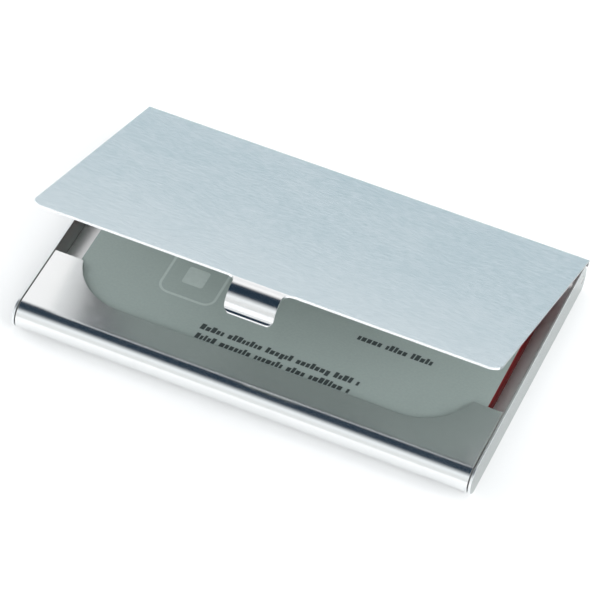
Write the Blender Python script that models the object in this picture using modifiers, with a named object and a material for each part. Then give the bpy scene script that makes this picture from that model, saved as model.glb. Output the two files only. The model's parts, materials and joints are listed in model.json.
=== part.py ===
"""Slim sheet-metal case for business cards, with a hinged lid and a stack of cards inside.

A floor, a half-round front roll and a top flap are bent from one sheet. Two thin side panels close
its ends. The lid is a second sheet, with a skirt and a flange at the rear, an ear at each end of the
flange, and a thumb tab that curls down over the front roll. A rivet through each panel and ear is
the hinge. The lid is modelled shut, about its hinge axis, and then stands open by LID_OPEN.

Metres, +X to the right, +Y to the rear, +Z up. The origin is the middle of the underside.
"""

import math

import bmesh
import bpy
from mathutils import Matrix, Vector

MM = 0.001

# Driving dimensions
WIDTH = 95.0 * MM
DEPTH = 60.3 * MM
BASE_HEIGHT = 6.4 * MM
SHEET = 0.5 * MM
PANEL = 0.55 * MM
SEAM = 0.2 * MM
LID_OPEN = math.radians(22.5)

# The base, from the front
FRONT = -DEPTH / 2
REAR = DEPTH / 2
ROLL_R = BASE_HEIGHT / 2
ROLL_Y = FRONT + ROLL_R
FLOOR_REAR = REAR - 1.9 * MM
FLAP_REAR = FRONT + 17.5 * MM
STRIP_REAR = FRONT + 8.8 * MM
CUTOUT_R = 12.0 * MM
CUTOUT_CENTRE_X = 29.2 * MM
SHELL_HALF = WIDTH / 2 - PANEL - SEAM

# The hinge
HINGE_Y = REAR - 2.0 * MM
HINGE_Z = BASE_HEIGHT / 2
PIN_R = 0.75 * MM
PIN_HOLE_R = 0.82 * MM
PIN_HEAD_R = 1.3 * MM
PIN_HEAD = 0.35 * MM
PIN_RECESS = 0.05 * MM
WASHER = 0.3 * MM
WASHER_R = 1.35 * MM
WASHER_GAP = 0.1 * MM

# The lid, shut
LID_GAP = 0.1 * MM
LID_TOP = BASE_HEIGHT + LID_GAP + SHEET
LID_FRONT = FRONT + 3.4 * MM
LID_CORNER_R = 2.3 * MM
BEND_R = 0.6 * MM
SKIRT_BOTTOM = HINGE_Z + 2.3 * MM
FLANGE_BOTTOM = HINGE_Z - 0.7 * MM
EAR_R = 1.4 * MM
EAR_OUTER = WIDTH / 2 - PANEL - WASHER - 2 * WASHER_GAP
TAB_WIDTH = 10.0 * MM
TAB_DROP = 1.75 * MM
TAB_ROOT_R = 2.0 * MM
TAB_CORNER_R = 1.3 * MM

# The cards
CARD_WIDTH = 85.0 * MM
CARD_DEPTH = 55.0 * MM
CARD_SHIFT = 1.0 * MM
CARD_FRONT = FRONT + 2.5 * MM
STACK_BOTTOM = 0.7 * MM
STACK_TOP = 5.25 * MM
TOP_CARD_BOTTOM = 5.35 * MM
TOP_CARD = 0.3 * MM

ROLL_STEPS = 40
ROUND_STEPS = 40
CORNER_STEPS = 10
REACH = 20.0 * MM


def clear_scene():
    for thing in list(bpy.data.objects):
        bpy.data.objects.remove(thing, do_unlink=True)


def new_collection(name):
    group = bpy.data.collections.new(name)
    bpy.context.scene.collection.children.link(group)
    return group


def material(name, colour, roughness, metallic):
    made = bpy.data.materials.new(name)
    made.use_nodes = True
    shader = made.node_tree.nodes["Principled BSDF"]
    shader.inputs["Base Color"].default_value = (*colour, 1.0)
    shader.inputs["Roughness"].default_value = roughness
    shader.inputs["Metallic"].default_value = metallic
    return made


def arc(centre, radius, start, end, steps):
    """Points on an arc, from one angle to another, both ends included."""
    points = []
    for i in range(steps + 1):
        angle = start + (end - start) * i / steps
        points.append((centre[0] + radius * math.cos(angle), centre[1] + radius * math.sin(angle)))
    return points


def place(name, mesh, group, origin=(0, 0, 0)):
    """A new object for a mesh that is given in world coordinates, with its origin where asked."""
    mesh.transform(Matrix.Translation(-Vector(origin)))
    thing = bpy.data.objects.new(name, mesh)
    thing.location = origin
    group.objects.link(thing)
    return thing


def outline_solid(name, points, low, high, turn, group, origin=(0, 0, 0)):
    """A flat outline, filled and made thick from low to high along its own axis, then turned."""
    curve = bpy.data.curves.new(name + "_outline", "CURVE")
    curve.dimensions = "2D"
    curve.fill_mode = "BOTH"
    curve.extrude = (high - low) / 2
    spline = curve.splines.new("POLY")
    spline.points.add(len(points) - 1)
    for point, (u, v) in zip(spline.points, points):
        point.co = (u, v, 0, 1)
    spline.use_cyclic_u = True
    guide = bpy.data.objects.new(name + "_outline", curve)
    group.objects.link(guide)
    bpy.context.view_layer.update()
    mesh = bpy.data.meshes.new_from_object(guide.evaluated_get(bpy.context.evaluated_depsgraph_get()))
    bpy.data.objects.remove(guide, do_unlink=True)
    mesh.transform(turn @ Matrix.Translation((0, 0, (low + high) / 2)))
    clean = bmesh.new()
    clean.from_mesh(mesh)
    bmesh.ops.remove_doubles(clean, verts=clean.verts, dist=1e-7)
    bmesh.ops.recalc_face_normals(clean, faces=clean.faces)
    clean.to_mesh(mesh)
    clean.free()
    mesh.name = name
    mesh.materials.clear()
    return place(name, mesh, group, origin)


PLAN = Matrix.Identity(4)
SIDE = Matrix(((0, 0, 1, 0), (1, 0, 0, 0), (0, 1, 0, 0), (0, 0, 0, 1)))
FACE = Matrix(((1, 0, 0, 0), (0, 0, -1, 0), (0, 1, 0, 0), (0, 0, 0, 1)))


def bent_sheet(name, profile, half, group, origin=(0, 0, 0)):
    """A sheet bent along a (y, z) profile, which is its outer side, and as long as 2 half along X."""
    build = bmesh.new()
    previous = None
    for y, z in profile:
        pair = (build.verts.new((-half, y, z)), build.verts.new((half, y, z)))
        if previous:
            build.faces.new((previous[0], previous[1], pair[1], pair[0]))
        previous = pair
    mesh = bpy.data.meshes.new(name)
    build.to_mesh(mesh)
    build.free()
    sheet = place(name, mesh, group, origin)
    thick = sheet.modifiers.new("sheet", "SOLIDIFY")
    thick.thickness = SHEET
    thick.offset = -1.0
    thick.use_even_offset = True
    return sheet


def cylinder(name, radius, low, high, group, centre=(HINGE_Y, HINGE_Z)):
    """A round bar along X, from low to high."""
    build = bmesh.new()
    turn = Matrix.Translation(((low + high) / 2, centre[0], centre[1])) @ Matrix.Rotation(math.pi / 2, 4, "Y")
    bmesh.ops.create_cone(
        build,
        cap_ends=True,
        segments=ROUND_STEPS,
        radius1=radius,
        radius2=radius,
        depth=high - low,
        matrix=turn,
    )
    mesh = bpy.data.meshes.new(name)
    build.to_mesh(mesh)
    build.free()
    return place(name, mesh, group, (0, centre[0], centre[1]))


def boolean(target, cutter, operation):
    step = target.modifiers.new(cutter.name, "BOOLEAN")
    step.object = cutter
    step.operation = operation
    step.solver = "EXACT"


def hide(cutter):
    cutter.hide_render = True
    cutter.display_type = "WIRE"
    return cutter


def finish(thing, surface):
    """Material and smooth shading, with edges sharper than 30 degrees kept."""
    thing.data.materials.append(surface)
    thing.data.shade_smooth()
    thing.data.set_sharp_from_angle(angle=math.radians(30))
    return thing


def base_shell(parts, cutters, surface):
    """Floor, half-round front roll and top flap in one bent sheet, with the wide cutout in the flap."""
    profile = [(FLOOR_REAR, 0.0)]
    profile += arc((ROLL_Y, ROLL_R), ROLL_R, -math.pi / 2, -3 * math.pi / 2, ROLL_STEPS)
    profile.append((FLAP_REAR, BASE_HEIGHT))
    shell = bent_sheet("base_shell", profile, SHELL_HALF, parts)
    centre_y = STRIP_REAR + CUTOUT_R
    start = math.asin((FLAP_REAR - centre_y) / CUTOUT_R)
    right = arc((CUTOUT_CENTRE_X, centre_y), CUTOUT_R, -math.pi / 2, start, 3 * CORNER_STEPS)
    edge_x = right[-1][0]
    outline = right + [(edge_x, FLAP_REAR + REACH), (-edge_x, FLAP_REAR + REACH)]
    outline += [(-x, y) for x, y in reversed(right)]
    low, high = BASE_HEIGHT - 3 * SHEET, BASE_HEIGHT + 3 * SHEET
    cutter = hide(outline_solid("flap_cutout", outline, low, high, PLAN, cutters))
    boolean(shell, cutter, "DIFFERENCE")
    return finish(shell, surface)


def side_panel(name, side, parts, cutters, surface):
    """A thin plate with a half-round front end and a blunt round rear end about the hinge."""
    front = arc((ROLL_Y, ROLL_R), ROLL_R, 3 * math.pi / 2, math.pi / 2, ROLL_STEPS)
    rear = []
    for i in range(ROLL_STEPS + 1):
        angle = math.pi / 2 - math.pi * i / ROLL_STEPS
        rear.append((HINGE_Y + (REAR - HINGE_Y) * math.cos(angle), HINGE_Z + HINGE_Z * math.sin(angle)))
    low, high = sorted((side * WIDTH / 2, side * (WIDTH / 2 - PANEL)))
    panel = outline_solid(name, front + rear, low, high, SIDE, parts)
    hole = cylinder(name + "_hole", PIN_HOLE_R, low - PANEL, high + PANEL, cutters)
    boolean(panel, hide(hole), "DIFFERENCE")
    return finish(panel, surface)


def hinge_pin(name, side, parts, cutters, surface):
    """A rivet, flush at its outer end, with a flat head inside the lid's ear."""
    outer = WIDTH / 2 - PIN_RECESS
    head_outer = EAR_OUTER - SHEET - WASHER_GAP
    shank = sorted((side * outer, side * (head_outer - PIN_HEAD / 2)))
    head = sorted((side * head_outer, side * (head_outer - PIN_HEAD)))
    pin = cylinder(name, PIN_R, shank[0], shank[1], parts)
    cap = hide(cylinder(name + "_head", PIN_HEAD_R, head[0], head[1], cutters))
    boolean(pin, cap, "UNION")
    return finish(pin, surface)


def hinge_washer(name, side, parts, cutters, surface):
    """A friction washer between the side panel and the lid's ear."""
    outer = WIDTH / 2 - PANEL - WASHER_GAP
    low, high = sorted((side * outer, side * (outer - WASHER)))
    washer = cylinder(name, WASHER_R, low, high, parts)
    hole = hide(cylinder(name + "_hole", PIN_HOLE_R, low - WASHER, high + WASHER, cutters))
    boolean(washer, hole, "DIFFERENCE")
    return finish(washer, surface)


def lid_profile():
    """The shut lid from the end of the thumb tab, over the plate, to the bottom of the rear flange."""
    tab_r = LID_TOP - ROLL_R
    curl = [(ROLL_Y - tab_r, ROLL_R - TAB_DROP)]
    curl += arc((ROLL_Y, ROLL_R), tab_r, math.pi, math.pi / 2, ROLL_STEPS)
    bend = arc((REAR - BEND_R, LID_TOP - BEND_R), BEND_R, math.pi / 2, 0.0, CORNER_STEPS // 2)
    return curl + bend + [(REAR, FLANGE_BOTTOM)]


def ear_outline():
    """From the flange forward and down round the hinge axis, all inside the sheet at its far edges."""
    top = LID_TOP - SHEET / 2
    rear = REAR - SHEET / 2
    nose = arc((HINGE_Y, HINGE_Z), EAR_R, -math.pi / 2, -3 * math.pi / 2, 2 * CORNER_STEPS)
    heel = FLANGE_BOTTOM + EAR_R / 2
    front = HINGE_Y - EAR_R
    lower = nose[: len(nose) // 2 + 1]
    return [(rear, heel)] + lower + [(front, top), (rear, top)]


def front_cutter(side, cutters):
    """Takes away the curl beside the thumb tab, and rounds the plate's corner and the tab's root."""
    half, corner = WIDTH / 2, LID_CORNER_R
    root, tab = TAB_ROOT_R, TAB_WIDTH / 2
    outline = [(tab, FRONT - REACH), (half + REACH, FRONT - REACH), (half + REACH, LID_FRONT + corner)]
    outline += arc((half - corner, LID_FRONT + corner), corner, 0.0, -math.pi / 2, CORNER_STEPS)
    outline += arc((tab + root, LID_FRONT - root), root, math.pi / 2, math.pi, CORNER_STEPS)
    outline = [(side * x, y) for x, y in outline]
    name = "lid_front_right" if side > 0 else "lid_front_left"
    return hide(outline_solid(name, outline, -REACH, REACH, PLAN, cutters))


def tab_corner_cutter(side, cutters):
    """Rounds one lower corner of the thumb tab, as seen from the front."""
    tab, corner = TAB_WIDTH / 2, TAB_CORNER_R
    bottom = ROLL_R - TAB_DROP
    outline = arc((tab - corner, bottom + corner), corner, -math.pi / 2, 0.0, CORNER_STEPS)
    outline += [(tab + corner, bottom + corner), (tab + corner, bottom - corner)]
    outline += [(tab - corner, bottom - corner)]
    outline = [(side * x, z) for x, z in outline]
    name = "tab_corner_right" if side > 0 else "tab_corner_left"
    return hide(outline_solid(name, outline, -ROLL_Y, REACH - ROLL_Y, FACE, cutters))


def flange_end_cutter(side, cutters):
    """Shortens the rear flange to a skirt where it passes behind a side panel."""
    low, high = EAR_OUTER, WIDTH / 2 + REACH
    outline = [(low, -REACH), (high, -REACH), (high, SKIRT_BOTTOM), (low, SKIRT_BOTTOM)]
    outline = [(side * x, z) for x, z in outline]
    name = "flange_end_right" if side > 0 else "flange_end_left"
    return hide(outline_solid(name, outline, -REAR - REACH / 4, -HINGE_Y, FACE, cutters))


def lid(parts, cutters, surface):
    """Plate, skirt, flange, ears and thumb tab in one piece, on the hinge axis, open by LID_OPEN."""
    axis = (0, HINGE_Y, HINGE_Z)
    cover = bent_sheet("lid", lid_profile(), WIDTH / 2, parts, axis)
    tools = []
    for side in (-1, 1):
        tools.append((front_cutter(side, cutters), "DIFFERENCE"))
        tools.append((tab_corner_cutter(side, cutters), "DIFFERENCE"))
        tools.append((flange_end_cutter(side, cutters), "DIFFERENCE"))
        low, high = sorted((side * EAR_OUTER, side * (EAR_OUTER - SHEET)))
        name = "ear_right" if side > 0 else "ear_left"
        tools.append((hide(outline_solid(name, ear_outline(), low, high, SIDE, cutters)), "UNION"))
        hole = cylinder(name + "_hole", PIN_HOLE_R, low - SHEET, high + SHEET, cutters)
        tools.append((hide(hole), "DIFFERENCE"))
    for tool, operation in tools:
        boolean(cover, tool, operation)
        tool.data.transform(Matrix.Translation(tool.location - Vector(axis)))
        tool.location = (0, 0, 0)
        tool.parent = cover
    cover.rotation_euler = (-LID_OPEN, 0, 0)
    return finish(cover, surface)


def card_block(name, low, high, parts, surface):
    """A rectangular block of cards, or one card."""
    build = bmesh.new()
    size = Matrix.Diagonal((CARD_WIDTH, CARD_DEPTH, high - low, 1))
    centre = Matrix.Translation((CARD_SHIFT, CARD_FRONT + CARD_DEPTH / 2, (low + high) / 2))
    bmesh.ops.create_cube(build, size=1.0, matrix=centre @ size)
    mesh = bpy.data.meshes.new(name)
    build.to_mesh(mesh)
    build.free()
    return finish(place(name, mesh, parts), surface)


def main():
    clear_scene()
    parts = new_collection("business_card_case")
    cutters = new_collection("cutters")
    satin = material("satin_aluminium", (0.80, 0.82, 0.84), 0.22, 1.0)
    lid_satin = material("lid_aluminium", (0.74, 0.79, 0.83), 0.36, 1.0)
    panel_satin = material("panel_aluminium", (0.72, 0.75, 0.74), 0.32, 1.0)
    steel = material("pin_steel", (0.62, 0.61, 0.60), 0.30, 1.0)
    nylon = material("washer_nylon", (0.85, 0.85, 0.82), 0.55, 0.0)
    white_card = material("card_face", (0.86, 0.88, 0.86), 0.50, 0.0)
    red_card = material("card_edge", (0.42, 0.03, 0.03), 0.60, 0.0)

    base_shell(parts, cutters, satin)
    lid(parts, cutters, lid_satin)
    for name, side in (("left", -1), ("right", 1)):
        side_panel("side_panel_" + name, side, parts, cutters, panel_satin)
        hinge_pin("hinge_pin_" + name, side, parts, cutters, steel)
        hinge_washer("hinge_washer_" + name, side, parts, cutters, nylon)
    card_block("card_stack", STACK_BOTTOM, STACK_TOP, parts, red_card)
    card_block("top_card", TOP_CARD_BOTTOM, TOP_CARD_BOTTOM + TOP_CARD, parts, white_card)


main()
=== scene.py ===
"""Looks of a slim sheet-metal case for business cards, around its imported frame.

The sheet pieces are cut flat and bent, as the real ones are: each has an outline in (x, s), where s runs
along the bent sheet's outer side, and a function that says where a point of the flat sheet goes.
"""

import json
import math
import random

import bmesh
import bpy
from mathutils import Matrix, Vector


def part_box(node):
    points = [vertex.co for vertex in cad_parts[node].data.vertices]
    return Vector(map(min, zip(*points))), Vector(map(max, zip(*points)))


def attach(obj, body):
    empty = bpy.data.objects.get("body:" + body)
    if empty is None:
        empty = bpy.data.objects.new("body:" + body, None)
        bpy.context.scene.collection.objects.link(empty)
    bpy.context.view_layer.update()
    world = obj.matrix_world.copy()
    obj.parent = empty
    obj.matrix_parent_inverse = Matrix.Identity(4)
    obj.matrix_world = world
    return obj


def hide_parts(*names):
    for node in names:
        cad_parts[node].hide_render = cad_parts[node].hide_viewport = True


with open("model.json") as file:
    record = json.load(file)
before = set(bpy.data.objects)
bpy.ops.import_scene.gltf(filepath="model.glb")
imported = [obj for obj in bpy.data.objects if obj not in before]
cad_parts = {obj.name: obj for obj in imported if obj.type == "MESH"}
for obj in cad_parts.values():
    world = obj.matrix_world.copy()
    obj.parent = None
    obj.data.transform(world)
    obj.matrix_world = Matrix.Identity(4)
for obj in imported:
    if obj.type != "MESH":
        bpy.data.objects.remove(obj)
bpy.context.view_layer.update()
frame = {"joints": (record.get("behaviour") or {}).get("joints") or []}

MM = 0.001
SEED = 7

# From the frame
SHELL_LOW, SHELL_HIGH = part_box("base_shell")
PANEL_LOW, PANEL_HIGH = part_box("side_panel_right")
LID_LOW, LID_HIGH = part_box("lid")
STACK_LOW, STACK_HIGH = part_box("card_stack")
CARD_LOW, CARD_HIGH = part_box("top_card")
WASHER_LOW, WASHER_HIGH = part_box("hinge_washer_right")
PIN_LOW, PIN_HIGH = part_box("hinge_pin_right")
HINGE = next(joint for joint in frame["joints"] if joint["name"] == "lid_hinge")
LID_OPEN = math.radians(-HINGE["range_deg"][0])
HINGE_Y, HINGE_Z = HINGE["pos_m"][1:]
FRONT, FLOOR_REAR = SHELL_LOW.y, SHELL_HIGH.y
BASE_HEIGHT = SHELL_HIGH.z
HALF = LID_HIGH.x
REAR = PANEL_HIGH.y

# Sheet, and the base's bends and cutout
SHEET = 0.5 * MM
EDGE = 0.09 * MM
SEAM = 0.2 * MM
ROLL_R = BASE_HEIGHT / 2
ROLL_Y = FRONT + ROLL_R
FLOOR = FLOOR_REAR - ROLL_Y
FLAP = 14.3 * MM
FLAP_START = FLOOR + math.pi * ROLL_R
STRIP = 5.6 * MM
CUTOUT_R = 12.0 * MM
CUTOUT_CENTRE_X = 29.2 * MM
FLOOR_CORNER_R = 0.6 * MM
SIDE_STEP = 0.6 * MM

# The lid, shut
LID_GAP = 0.1 * MM
LID_TOP = BASE_HEIGHT + LID_GAP + SHEET
TAB_R = LID_TOP - ROLL_R
TAB_HALF = 5.0 * MM
TAB_DROP = 1.75 * MM
TAB_CURL = TAB_R * math.pi / 2
TAB_LIP = 0.9 * MM
TAB_LIP_R = 0.8 * MM
TAB_CORNER_R = 1.3 * MM
TAB_ROOT_R = 2.0 * MM
LID_CORNER_R = 2.3 * MM
PLATE_FRONT = 0.2 * MM
BEND_R = 0.6 * MM
PLATE = REAR - BEND_R - ROLL_Y
FLANGE_START = PLATE + BEND_R * math.pi / 2
SKIRT = 0.9 * MM
FLANGE = 3.9 * MM
SLIT = 0.2 * MM
EAR_OUTER = WASHER_LOW.x - 0.1 * MM
EAR_R = 1.4 * MM
EAR_CORNER_R = 0.5 * MM

# The hinge
PIN_HOLE_R = 0.82 * MM
SHANK_R = 0.75 * MM
HEAD_R = 1.3 * MM
HEAD_THICK = 0.35 * MM

# The cards and their print: each line is (start x, end x, foot y)
CARD_COUNT = 15
PRINT_LINES = (
    (-13.5 * MM, 19.4 * MM, -18.1 * MM),
    (-13.5 * MM, 18.6 * MM, -20.6 * MM),
    (14.6 * MM, 31.2 * MM, -7.4 * MM),
)
PRINT_HEIGHT = 1.45 * MM
LETTER_GAP = 0.22 * MM
WORD_GAP = 0.75 * MM
INK_FILM = 0.01 * MM
MARK = (-19.5 * MM, -6.6 * MM)
MARK_HALF = 6.0 * MM
MARK_LINE = 0.5 * MM

# Slots of the top card's materials
FACE, CUT_EDGE, DARK_INK, PALE_INK = range(4)

# The colour inputs of a Mix node in its RGBA mode
MIX_A, MIX_B = 6, 7

# The surroundings: colours at angles, in degrees, from the rear horizon over the top to the front one
SKY = (
    (0.0, (0.07, 0.22, 0.30)),
    (3.0, (0.16, 0.34, 0.42)),
    (8.0, (0.96, 0.98, 1.0)),
    (14.0, (1.0, 1.0, 1.0)),
    (24.0, (0.87, 0.88, 0.89)),
    (36.0, (0.87, 0.88, 0.89)),
    (46.0, (1.0, 1.0, 1.0)),
    (54.0, (1.0, 1.0, 1.0)),
    (72.0, (0.01, 0.025, 0.045)),
    (117.0, (0.01, 0.025, 0.045)),
    (143.0, (0.93, 0.97, 0.99)),
    (152.0, (0.84, 0.87, 0.88)),
    (166.0, (0.74, 0.76, 0.76)),
    (180.0, (0.72, 0.74, 0.74)),
)
SKY_ASIDE = (0.80, 0.82, 0.83)
SKY_MIDDLE_X = -0.24
SKY_FADE = (0.30, 0.55)
SKY_STRENGTH = 1.15

# Lamps: name, place, size and power
LAMPS = (
    ("rear_lamp", (0.0, 0.6, 1.3), 1.0, 4.5),
    ("front_lamp", (0.15, -1.2, 0.6), 0.9, 5.0),
    ("right_lamp", (1.2, 0.0, 0.36), 0.8, 11.0),
    ("left_lamp", (-1.2, 0.0, 0.36), 0.8, 10.0),
)

# The camera
TARGET = Vector((-0.12, -0.57, 2.69)) * MM
AZIMUTH = math.radians(21.25)
ELEVATION = math.radians(48.15)
ROLL = math.radians(3.67)
DISTANCE = 684.7 * MM
LENS = 212.4


# Shapes

def arc(centre, radius, start, end, steps):
    """Points on an arc, from one angle to another in degrees, both ends included."""
    points = []
    for i in range(steps + 1):
        angle = math.radians(start + (end - start) * i / steps)
        points.append((centre[0] + radius * math.cos(angle), centre[1] + radius * math.sin(angle)))
    return points


def both_halves(right):
    """A symmetric outline from its right half, which runs counter-clockwise."""
    return right + [(-x, s) for x, s in reversed(right)]


def between(low, high, steps):
    return [low + (high - low) * i / steps for i in range(steps + 1)]


def add(name, data):
    thing = bpy.data.objects.new(name, data)
    bpy.context.scene.collection.objects.link(thing)
    return thing


def finished(name, build):
    """A new object from a bmesh, which is freed."""
    mesh = bpy.data.meshes.new(name)
    build.to_mesh(mesh)
    build.free()
    return add(name, mesh)


def bent_face(name, outline, rows, columns, place):
    """A flat outline as one face, cut along rows and columns, with each point put where place says."""
    build = bmesh.new()
    build.faces.new([build.verts.new((x, s, 0)) for x, s in outline])
    for axis, cuts in ((1, rows), (0, columns)):
        for cut in cuts:
            point = Vector((0, 0, 0))
            normal = Vector((0, 0, 0))
            point[axis] = cut
            normal[axis] = 1.0
            everything = build.verts[:] + build.edges[:] + build.faces[:]
            bmesh.ops.bisect_plane(build, geom=everything, dist=1e-8, plane_co=point, plane_no=normal)
    for vertex in build.verts:
        vertex.co = place(vertex.co.x, vertex.co.y)
    return finished(name, build)


def solidify(thing, thickness):
    """Thickness behind the outer side. The rim takes the second material."""
    step = thing.modifiers.new("sheet", "SOLIDIFY")
    step.thickness = thickness
    step.offset = -1.0
    step.use_even_offset = True
    step.material_offset_rim = 1


def turned(name, profile, steps=64):
    """A profile in (x, r), turned about the hinge line."""
    build = bmesh.new()
    ring = [build.verts.new((x, 0, r)) for x, r in profile]
    closed = profile[0][1] > 0
    pairs = list(zip(ring, ring[1:] + ring[:1]))
    edges = [build.edges.new(pair) for pair in (pairs if closed else pairs[:-1])]
    bmesh.ops.spin(
        build,
        geom=ring + edges,
        cent=(0, 0, 0),
        axis=(1, 0, 0),
        angle=2 * math.pi,
        steps=steps,
    )
    bmesh.ops.remove_doubles(build, verts=build.verts, dist=1e-7)
    bmesh.ops.recalc_face_normals(build, faces=build.faces)
    thing = finished(name, build)
    thing.data.transform(Matrix.Translation((0, HINGE_Y, HINGE_Z)))
    return thing


def drill(thing, radius):
    """A hole right through along the hinge line."""
    reach = 2 * HALF
    cutter = turned("drill", [(-reach, 0), (-reach, radius), (reach, radius), (reach, 0)])
    step = thing.modifiers.new("hole", "BOOLEAN")
    step.object = cutter
    step.operation = "DIFFERENCE"
    settle(thing)
    bpy.data.objects.remove(cutter, do_unlink=True)
    build = bmesh.new()
    build.from_mesh(thing.data)
    bmesh.ops.dissolve_limit(
        build,
        angle_limit=math.radians(0.5),
        verts=build.verts,
        edges=build.edges,
        delimit={"MATERIAL"},
    )
    build.to_mesh(thing.data)
    build.free()


def settle(thing):
    """Applies the modifiers."""
    bpy.context.view_layer.update()
    shape = thing.evaluated_get(bpy.context.evaluated_depsgraph_get())
    mesh = bpy.data.meshes.new_from_object(shape)
    thing.modifiers.clear()
    old = thing.data
    thing.data = mesh
    bpy.data.meshes.remove(old)
    mesh.name = thing.name


def soften(thing, width=EDGE, segments=3):
    """Small rounds on the sharp edges, and shading that keeps the flat faces flat."""
    thing.data.shade_smooth()
    step = thing.modifiers.new("edges", "BEVEL")
    step.width = width
    step.segments = segments
    step.limit_method = "ANGLE"
    step.angle_limit = math.radians(35)
    step.miter_outer = "MITER_ARC"
    normals = thing.modifiers.new("normals", "WEIGHTED_NORMAL")
    normals.weight = 100
    settle(thing)


def dress(thing, *surfaces):
    """Adds materials, and leaves each face's slot as it is."""
    for surface in surfaces:
        thing.data.materials.append(surface)
    return thing


# Materials

class Nodes:
    """Short calls for one material's or world's nodes."""

    def __init__(self, owner):
        owner.use_nodes = True
        self.tree = owner.node_tree

    def new(self, kind, **values):
        node = self.tree.nodes.new(kind)
        for name, value in values.items():
            if hasattr(node, name):
                setattr(node, name, value)
            else:
                self.put(node, name.replace("_", " "), value)
        return node

    def put(self, node, socket, value):
        target = node.inputs[socket]
        if isinstance(value, bpy.types.NodeSocket):
            self.tree.links.new(value, target)
        else:
            target.default_value = value


def grain_coordinates(nodes, along, length, width):
    """Object coordinates in which one unit is a streak's length along one axis and its width across."""
    scale = [1 / width] * 3
    scale["XYZ".index(along)] = 1 / length
    place = nodes.new("ShaderNodeTexCoord")
    return nodes.new("ShaderNodeMapping", Vector=place.outputs["Object"], Scale=scale).outputs["Vector"]


def noise(nodes, vector, detail):
    return nodes.new("ShaderNodeTexNoise", Vector=vector, Scale=1.0, Detail=detail).outputs["Fac"]


def spread(nodes, value, low, high):
    """Brings a noise value, which lies mostly from 0.3 to 0.7, to a range."""
    node = nodes.new("ShaderNodeMapRange", Value=value)
    for socket, number in (("From Min", 0.3), ("From Max", 0.7), ("To Min", low), ("To Max", high)):
        nodes.put(node, socket, number)
    return node.outputs["Result"]


def material(name):
    """A new material, its nodes and its shader."""
    made = bpy.data.materials.new(name)
    nodes = Nodes(made)
    return made, nodes, made.node_tree.nodes["Principled BSDF"]


def joined(nodes, operation, first, second):
    node = nodes.new("ShaderNodeMath", operation=operation)
    nodes.put(node, 0, first)
    nodes.put(node, 1, second)
    return node.outputs[0]


def tint(nodes, shader, factor, colour, low, high):
    """The base colour: from low to high times the colour, by a factor from 0 to 1."""
    shade = nodes.new("ShaderNodeMix", data_type="RGBA")
    nodes.put(shade, "Factor", factor)
    nodes.put(shade, MIX_A, (*[channel * low for channel in colour], 1))
    nodes.put(shade, MIX_B, (*[min(1.0, channel * high) for channel in colour], 1))
    nodes.put(shader, "Base Color", shade.outputs[2])


def relief(nodes, shader, height, strength, depth):
    bump = nodes.new("ShaderNodeBump", Height=height, Strength=strength, Distance=depth)
    nodes.put(shader, "Normal", bump.outputs["Normal"])


def brushed_metal(name, colour, roughness, along="X", streak=0.10, tone=0.05):
    """Satin metal: fine and coarser streaks along the brushing, and broad uneven patches."""
    made, nodes, shader = material(name)
    nodes.put(shader, "Metallic", 1.0)
    fine = noise(nodes, grain_coordinates(nodes, along, 3 * MM, 0.12 * MM), detail=2.0)
    coarse = noise(nodes, grain_coordinates(nodes, along, 1.5 * MM, 0.4 * MM), detail=1.0)
    patches = noise(nodes, grain_coordinates(nodes, along, 18 * MM, 11 * MM), detail=1.0)
    streaks = joined(nodes, "MULTIPLY", joined(nodes, "ADD", fine, coarse), 0.5)
    streaked = spread(nodes, streaks, roughness - streak / 2, roughness + streak / 2)
    nodes.put(shader, "Roughness", joined(nodes, "ADD", streaked, spread(nodes, patches, -0.006, 0.006)))
    tint(nodes, shader, spread(nodes, streaks, 0.0, 1.0), colour, 1 - tone, 1 + tone)
    relief(nodes, shader, streaks, 0.5, 0.0006 * MM)
    return made


def card_paper(name, colour):
    """Coated card: a faint fibre mottle and a soft gloss."""
    made, nodes, shader = material(name)
    mottle = noise(nodes, grain_coordinates(nodes, "X", 0.5 * MM, 0.35 * MM), detail=3.0)
    tint(nodes, shader, spread(nodes, mottle, 0.0, 1.0), colour, 0.96, 1.03)
    nodes.put(shader, "Roughness", spread(nodes, mottle, 0.45, 0.55))
    relief(nodes, shader, mottle, 0.3, 0.004 * MM)
    return made


def cut_card(name, colour):
    """The cut edges of stacked cards: each card a little lighter or darker, with fine fibres along it."""
    made, nodes, shader = material(name)
    island = nodes.new("ShaderNodeNewGeometry").outputs["Random Per Island"]
    fibres = noise(nodes, grain_coordinates(nodes, "Y", 1.5 * MM, 0.06 * MM), detail=2.0)
    lightness = joined(nodes, "MULTIPLY", joined(nodes, "ADD", island, fibres), 0.6)
    tint(nodes, shader, lightness, colour, 0.7, 1.35)
    nodes.put(shader, "Roughness", 0.6)
    return made


def ink(name, colour):
    """Print: its density varies a little over the card."""
    made, nodes, shader = material(name)
    patches = noise(nodes, grain_coordinates(nodes, "X", 0.8 * MM, 0.6 * MM), detail=2.0)
    tint(nodes, shader, spread(nodes, patches, 0.0, 1.0), colour, 0.96, 1.04)
    nodes.put(shader, "Roughness", 0.5)
    return made


def nylon(name, colour):
    """Moulded plastic with a faint grain."""
    made, nodes, shader = material(name)
    nodes.put(shader, "Base Color", (*colour, 1))
    nodes.put(shader, "Subsurface Weight", 0.1)
    nodes.put(shader, "Subsurface Scale", 0.5 * MM)
    grain = noise(nodes, grain_coordinates(nodes, "X", 0.1 * MM, 0.1 * MM), detail=2.0)
    nodes.put(shader, "Roughness", spread(nodes, grain, 0.4, 0.55))
    relief(nodes, shader, grain, 0.2, 0.003 * MM)
    return made


# The base

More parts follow.
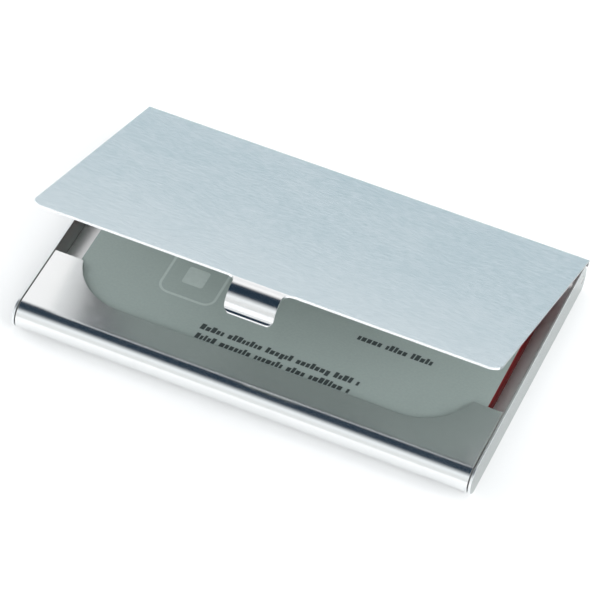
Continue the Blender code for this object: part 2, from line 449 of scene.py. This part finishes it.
def place_shell(x, s):
    """Floor towards the front, up round the roll, and back along the flap."""
    if s <= FLOOR:
        return Vector((x, FLOOR_REAR - s, 0))
    if s >= FLAP_START:
        return Vector((x, ROLL_Y + s - FLAP_START, BASE_HEIGHT))
    angle = (s - FLOOR) / ROLL_R
    return Vector((x, ROLL_Y - ROLL_R * math.sin(angle), ROLL_R - ROLL_R * math.cos(angle)))


def base_shell(surface, edge, inside):
    """Floor, half-round front roll and top flap in one sheet, with the wide cutout in the flap.

    The floor's upper side, which the cards lie on, has a coarser finish.
    """
    corner = FLOOR_CORNER_R
    floor_half = PANEL_LOW.x - 0.01 * MM
    roll_half = PANEL_LOW.x - SEAM
    step = FLOOR - SIDE_STEP
    end = FLAP_START + FLAP
    strip = FLAP_START + STRIP
    centre = (CUTOUT_CENTRE_X, strip + CUTOUT_R)
    top = math.degrees(math.asin((FLAP - STRIP - CUTOUT_R) / CUTOUT_R))
    right = arc((floor_half - corner, corner), corner, -90, 0, 8)
    right += [(floor_half, step), (roll_half, step), (roll_half, end)]
    right += arc(centre, CUTOUT_R, top, -90, 36)
    rows = between(FLOOR, FLAP_START, 60) + [FLOOR - EDGE, FLAP_START + EDGE]
    shell = bent_face("base_sheet", both_halves(right), rows, [], place_shell)
    solidify(dress(shell, surface, edge, inside), SHEET)
    settle(shell)
    for face in shell.data.polygons:
        if face.normal.z > 0.9 and face.center.z < 2 * SHEET:
            face.material_index = 2
    soften(shell, 0.05 * MM)
    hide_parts("base_shell")
    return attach(shell, "base")


def panel_outline():
    """A half-round front end and a blunt round rear end about the hinge, in (y, z)."""
    front = arc((ROLL_Y, ROLL_R), ROLL_R, 270, 90, 48)
    rear = []
    for i in range(49):
        angle = math.pi / 2 - math.pi * i / 48
        rear.append((HINGE_Y + (REAR - HINGE_Y) * math.cos(angle), HINGE_Z + HINGE_Z * math.sin(angle)))
    return front + rear


def side_panel(side, surface, edge):
    """A thin plate at one end of the base, with the hinge rivet's hole."""
    name = "right" if side > 0 else "left"
    outer = side * PANEL_HIGH.x
    thickness = PANEL_HIGH.x - PANEL_LOW.x
    outline = panel_outline() if side < 0 else list(reversed(panel_outline()))
    panel = bent_face("end_panel_" + name, outline, [], [], lambda y, z: Vector((outer, y, z)))
    solidify(dress(panel, surface, edge), thickness)
    settle(panel)
    drill(panel, PIN_HOLE_R)
    soften(panel, 0.10 * MM)
    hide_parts("side_panel_" + name)
    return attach(panel, "base")


# The hinge

def hinge_pin(side, surface):
    """A rivet: a countersunk outer end with a small dimple, and a low domed head inside the ear."""
    name = "right" if side > 0 else "left"
    inner, outer = PIN_LOW.x, PIN_HIGH.x
    profile = [(inner, 0), (inner + 0.02 * MM, HEAD_R * 0.55), (inner + 0.12 * MM, HEAD_R * 0.88)]
    profile += [(inner + 0.22 * MM, HEAD_R), (inner + HEAD_THICK, HEAD_R), (inner + HEAD_THICK, SHANK_R)]
    profile += [(outer - 0.08 * MM, SHANK_R), (outer, SHANK_R - 0.08 * MM), (outer, SHANK_R * 0.4)]
    profile += [(outer - 0.07 * MM, SHANK_R * 0.28), (outer - 0.1 * MM, 0)]
    pin = turned("rivet_" + name, [(side * x, r) for x, r in profile])
    dress(pin, surface)
    soften(pin, 0.03 * MM, 2)
    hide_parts("hinge_pin_" + name)
    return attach(pin, "base")


def hinge_washer(side, surface):
    """A flat ring with rounded edges, between the side panel and the lid's ear."""
    name = "right" if side > 0 else "left"
    low, high = WASHER_LOW.x, WASHER_HIGH.x
    outer = WASHER_HIGH.y - HINGE_Y
    profile = [(low, PIN_HOLE_R), (high, PIN_HOLE_R), (high, outer), (low, outer)]
    washer = turned("friction_ring_" + name, [(side * x, r) for x, r in profile])
    dress(washer, surface)
    soften(washer, 0.06 * MM)
    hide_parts("hinge_washer_" + name)
    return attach(washer, "base")


# The lid

def place_lid(x, s):
    """The shut lid: s is 0 where the tab's curl meets the plate.

    The tab's end turns out in a small lip for a fingernail, and the ears fold forward off the flange.
    """
    if s < -TAB_CURL:
        past_straight = -TAB_CURL - TAB_DROP + TAB_LIP - s
        angle = max(past_straight, 0.0) / TAB_LIP_R
        y = ROLL_Y - TAB_R - TAB_LIP_R * (1 - math.cos(angle))
        z = ROLL_R - TAB_DROP + TAB_LIP - TAB_LIP_R * math.sin(angle) - min(past_straight, 0.0)
        return Vector((x, y, z))
    if s < 0:
        angle = math.pi / 2 + s / TAB_R
        return Vector((x, ROLL_Y - TAB_R * math.cos(angle), ROLL_R + TAB_R * math.sin(angle)))
    if s <= PLATE:
        return Vector((x, ROLL_Y + s, LID_TOP))
    if s < FLANGE_START:
        angle = (s - PLATE) / BEND_R
        drop = BEND_R * (1 - math.cos(angle))
        return Vector((x, REAR - BEND_R + BEND_R * math.sin(angle), LID_TOP - drop))
    z = LID_TOP - BEND_R - (s - FLANGE_START)
    side = math.copysign(1.0, x)
    past = abs(x) - (EAR_OUTER - BEND_R)
    is_ear = s > FLANGE_START + SKIRT + SLIT / 2 or abs(x) > HALF + SLIT / 8
    if past <= 0 or not is_ear:
        return Vector((x, REAR, z))
    quarter = BEND_R * math.pi / 2
    if past < quarter:
        angle = past / BEND_R
        across = EAR_OUTER - BEND_R + BEND_R * math.sin(angle)
        return Vector((side * across, REAR - BEND_R * (1 - math.cos(angle)), z))
    return Vector((side * EAR_OUTER, REAR - BEND_R - (past - quarter), z))


def lid_outline():
    """The lid's flat blank: tab, plate, skirt, flange, and an ear beyond each end of the flange."""
    tab_end = -TAB_CURL - TAB_DROP
    root = TAB_HALF + TAB_ROOT_R
    right = arc((TAB_HALF - TAB_CORNER_R, tab_end + TAB_CORNER_R), TAB_CORNER_R, -90, 0, 12)
    right += arc((root, PLATE_FRONT - TAB_ROOT_R), TAB_ROOT_R, 180, 90, 12)
    right += arc((HALF - LID_CORNER_R, PLATE_FRONT + LID_CORNER_R), LID_CORNER_R, -90, 0, 16)
    skirt = FLANGE_START + SKIRT
    fold = EAR_OUTER - BEND_R
    right += [(HALF, skirt), (fold - SLIT, skirt), (fold - SLIT, skirt + SLIT)]
    reach = fold + BEND_R * math.pi / 2
    nose = (reach + REAR - BEND_R - HINGE_Y, FLANGE_START + LID_TOP - BEND_R - HINGE_Z)
    shoulder = FLANGE_START + SLIT
    step = HALF + SLIT / 2
    right += [(step, skirt + SLIT), (step, shoulder)]
    round_centre = (nose[0] + EAR_R - EAR_CORNER_R, shoulder + EAR_CORNER_R)
    right += arc(round_centre, EAR_CORNER_R, -90, 0, 6)
    right += arc(nose, EAR_R, 0, 110, 20)
    right += [(reach - SLIT, FLANGE_START + FLANGE)]
    return both_halves(right)


def lid(surface, edge, rim_painted_shade):
    """One bent sheet, made shut and then opened about the hinge. Its left and right rims take a darker copy
    of the edge metal: painted shade.
    """
    fold = EAR_OUTER - BEND_R
    quarter = BEND_R * math.pi / 2
    tab_end = -TAB_CURL - TAB_DROP
    rows = between(tab_end, tab_end + TAB_LIP, 8)[1:]
    rows += between(-TAB_CURL, 0.0, 36) + [PLATE - EDGE] + between(PLATE, FLANGE_START, 10)
    right_folds = between(fold, fold + quarter, 8)
    columns = right_folds + [-x for x in right_folds]
    cover = bent_face("lid_sheet", lid_outline(), rows, columns, place_lid)
    solidify(dress(cover, surface, edge, rim_painted_shade), SHEET)
    settle(cover)
    # The left and right rims get the darker edge material: painted shade on the sides.
    for rim in cover.data.polygons:
        if rim.material_index == 1 and abs(rim.normal.x) > 0.9 and rim.center.y > ROLL_Y:
            rim.material_index = 2
    drill(cover, PIN_HOLE_R)
    soften(cover)
    axis = Matrix.Translation((0, HINGE_Y, HINGE_Z))
    cover.data.transform(axis @ Matrix.Rotation(-LID_OPEN, 4, "X") @ axis.inverted())
    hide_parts("lid")
    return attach(cover, "lid")


# The cards

def card_mesh(build, centre, size, turn):
    """One card, with its corners a little worn round."""
    shape = Matrix.Translation(centre) @ Matrix.Rotation(turn, 4, "Z") @ Matrix.Diagonal((*size, 1))
    made = bmesh.ops.create_cube(build, size=1.0, matrix=shape)
    upright = [
        edge
        for vertex in made["verts"]
        for edge in vertex.link_edges
        if abs(edge.verts[0].co.z - edge.verts[1].co.z) > size[2] / 2
    ]
    corners = list(set(upright))
    bmesh.ops.bevel(build, geom=corners, offset=0.3 * MM, segments=4, affect="EDGES", profile=0.5)


def card_pile(edge):
    """Loose cards under the top one, each a little out of line."""
    rng = random.Random(SEED)
    pitch = (STACK_HIGH.z - STACK_LOW.z) / CARD_COUNT
    size = (STACK_HIGH.x - STACK_LOW.x - 0.3 * MM, STACK_HIGH.y - STACK_LOW.y - 0.3 * MM, pitch * 0.93)
    middle = (STACK_LOW + STACK_HIGH) / 2
    build = bmesh.new()
    for i in range(CARD_COUNT):
        shift_x = rng.uniform(-0.12, 0.12) * MM
        shift_y = rng.uniform(-0.12, 0.10) * MM
        centre = Vector((middle.x + shift_x, middle.y + shift_y, STACK_LOW.z + (i + 0.5) * pitch))
        card_mesh(build, centre, size, math.radians(rng.uniform(-0.04, 0.04)))
    pile = dress(finished("card_pile", build), edge)
    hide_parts("card_stack")
    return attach(pile, "cards")


def printed(build, outline, slot):
    """A flat shape of ink, just proud of the top card."""
    top = [build.verts.new((x, y, CARD_HIGH.z + INK_FILM)) for x, y in outline]
    foot = [build.verts.new((x, y, CARD_HIGH.z - INK_FILM)) for x, y in outline]
    faces = [build.faces.new(top)]
    for i in range(len(top)):
        j = (i + 1) % len(top)
        faces.append(build.faces.new((foot[i], foot[j], top[j], top[i])))
    for face in faces:
        face.material_index = slot


def rounded_box(centre, half, radius):
    """The outline of a rounded square, counter-clockwise."""
    x, y = centre
    reach = half - radius
    points = []
    for i, (side, end) in enumerate(((1, -1), (1, 1), (-1, 1), (-1, -1))):
        start = 90 * (i - 1)
        points += arc((x + side * reach, y + end * reach), radius, start, start + 90, 6)
    return points


def printed_frame(build, centre, half, radius, width, slot):
    """A rounded square frame of ink, in short pieces."""
    outer = rounded_box(centre, half, radius)
    inner = rounded_box(centre, half - width, radius - width)
    for i in range(len(outer)):
        j = (i + 1) % len(outer)
        printed(build, [outer[i], outer[j], inner[j], inner[i]], slot)


def printed_line(build, rng, start, end, y):
    """A line of words that say nothing: each is a row of small leaning blocks, and no block is a letter."""
    x = start
    left = rng.randint(3, 8)
    while x < end - 0.3 * MM:
        width = min(rng.uniform(0.5, 0.95) * MM, end - x)
        low = y - (0.25 * PRINT_HEIGHT if rng.random() < 0.08 else 0.0)
        high = y + PRINT_HEIGHT * (1.0 if rng.random() < 0.3 else 0.72)
        lean = 0.14 * (high - low)
        block = [(x, low), (x + width, low), (x + width + lean, high), (x + lean, high)]
        printed(build, block, DARK_INK)
        x += width + LETTER_GAP
        left -= 1
        if left == 0:
            x += WORD_GAP
            left = rng.randint(3, 8)


def top_card(face, edge, dark_ink, pale_ink):
    """The card that shows, with three lines of blocks and a plain mark of a square in a rounded frame."""
    size = CARD_HIGH - CARD_LOW
    build = bmesh.new()
    card_mesh(build, (CARD_LOW + CARD_HIGH) / 2, size, 0.0)
    for side in build.faces:
        side.normal_update()
        side.material_index = FACE if side.normal.z > 0.5 else CUT_EDGE
    rng = random.Random(SEED)
    for start, end, y in PRINT_LINES:
        printed_line(build, rng, start, end, y)
    printed_frame(build, MARK, MARK_HALF, 2.4 * MM, MARK_LINE, PALE_INK)
    printed(build, rounded_box(MARK, 2.2 * MM, 0.5 * MM), PALE_INK)
    card = dress(finished("front_card", build), face, edge, dark_ink, pale_ink)
    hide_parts("top_card")
    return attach(card, "cards")


# The room

def floor():
    """A plain pale floor."""
    bpy.ops.mesh.primitive_plane_add(size=6.0, location=(0, 0, -0.0001))
    ground = bpy.context.object
    ground.name = "floor"
    surface, nodes, shader = material("pale_floor")
    nodes.put(shader, "Base Color", (0.96, 0.96, 0.96, 1))
    nodes.put(shader, "Roughness", 0.9)
    nodes.put(shader, "Specular IOR Level", 0.1)
    dress(ground, surface)


def surroundings():
    """Pale all round, with a dark strip overhead between two broad white sheets."""
    world = bpy.data.worlds.new("studio")
    bpy.context.scene.world = world
    nodes = Nodes(world)
    background = world.node_tree.nodes["Background"]
    direction = nodes.new("ShaderNodeTexCoord").outputs["Generated"]
    parts = nodes.new("ShaderNodeSeparateXYZ", Vector=direction)
    slant = joined(nodes, "ARCTAN2", parts.outputs["Z"], parts.outputs["Y"])
    turn = nodes.new("ShaderNodeMapRange", Value=slant, From_Min=0.0, From_Max=math.pi)
    ramp = nodes.new("ShaderNodeValToRGB", Fac=turn.outputs["Result"])
    stops = ramp.color_ramp.elements
    while len(stops) < len(SKY):
        stops.new(0.5)
    for stop, (angle, colour) in zip(stops, SKY):
        stop.position = angle / 180.0
        stop.color = (*colour, 1)
    across = joined(nodes, "ADD", parts.outputs["X"], -SKY_MIDDLE_X)
    away = joined(nodes, "ABSOLUTE", across, 0.0)
    aside = nodes.new("ShaderNodeMapRange", Value=away, From_Min=SKY_FADE[0], From_Max=SKY_FADE[1])
    light = nodes.new("ShaderNodeMix", data_type="RGBA")
    nodes.put(light, "Factor", aside.outputs["Result"])
    nodes.put(light, MIX_A, ramp.outputs["Color"])
    nodes.put(light, MIX_B, (*SKY_ASIDE, 1))
    nodes.put(background, "Color", light.outputs[2])
    nodes.put(background, "Strength", SKY_STRENGTH)


def lamp(name, location, size, power):
    """A soft square lamp that lights matt surfaces only, so that it leaves no mark on the metal."""
    data = bpy.data.lights.new(name, "AREA")
    data.size = size
    data.energy = power
    light = add(name, data)
    light.location = location
    light.rotation_euler = (-Vector(location)).to_track_quat("-Z", "Y").to_euler()
    light.visible_glossy = False


def camera():
    """A long lens, from the front and a little to the right, well above the case."""
    back = Vector((
        math.sin(AZIMUTH) * math.cos(ELEVATION),
        -math.cos(AZIMUTH) * math.cos(ELEVATION),
        math.sin(ELEVATION),
    ))
    right = Vector((math.cos(AZIMUTH), math.sin(AZIMUTH), 0))
    up = back.cross(right)
    turn = Matrix((right, up, back)).transposed() @ Matrix.Rotation(ROLL, 3, "Z")
    data = bpy.data.cameras.new("camera")
    data.sensor_width = 36.0
    data.lens = LENS
    data.clip_start = 0.01
    data.clip_end = 20.0
    eye = add("camera", data)
    eye.matrix_world = Matrix.Translation(TARGET + back * DISTANCE) @ turn.to_4x4()
    bpy.context.scene.camera = eye


def main():
    bpy.context.scene.view_settings.view_transform = "Standard"
    base_metal = brushed_metal("base_satin", (0.85, 0.86, 0.86), 0.22, streak=0.04, tone=0.015)
    inside_metal = brushed_metal("inside_satin", (0.97, 0.97, 0.97), 0.34, streak=0.04, tone=0.015)
    lid_metal = brushed_metal("lid_satin", (0.84, 0.84, 0.84), 0.18, streak=0.055, tone=0.04)
    # The end panels' dark grey base colour is painted shade, for the shaded floor that their outer faces
    # reflect.
    panel_metal_painted_shade = brushed_metal("panel_satin_painted_shade", (0.40, 0.435, 0.43), 0.24, along="Y", streak=0.05, tone=0.02)
    sheared = brushed_metal("sheared_edge", (0.90, 0.91, 0.92), 0.28)
    panel_edge = brushed_metal("panel_edge", (0.86, 0.88, 0.88), 0.34, along="Y", streak=0.04, tone=0.01)
    # A darker copy of the sheared edge for the lid's left and right rims: painted shade.
    lid_side_painted_shade = brushed_metal("lid_side_edge_painted_shade", (0.32, 0.36, 0.37), 0.28, along="Y", streak=0.04, tone=0.01)
    steel = brushed_metal("rivet_steel", (0.62, 0.61, 0.60), 0.30)
    ring = nylon("ring_nylon", (0.80, 0.80, 0.76))
    # The card's dark grey-green base colour is painted shade: a light card darkened as it lies in the lid's
    # shade.
    paper_painted_shade = card_paper("card_paper", (0.295, 0.35, 0.333))
    black = ink("dark_ink", (0.03, 0.04, 0.04))
    pale = ink("pale_ink", (0.41, 0.475, 0.455))
    red = cut_card("card_edges", (0.27, 0.010, 0.010))

    base_shell(base_metal, sheared, inside_metal)
    lid(lid_metal, sheared, lid_side_painted_shade)
    for side in (-1, 1):
        side_panel(side, panel_metal_painted_shade, panel_edge)
        hinge_pin(side, steel)
        hinge_washer(side, ring)
    card_pile(red)
    top_card(paper_painted_shade, red, black, pale)

    floor()
    surroundings()
    for name, location, size, power in LAMPS:
        lamp(name, location, size, power)
    camera()


main()
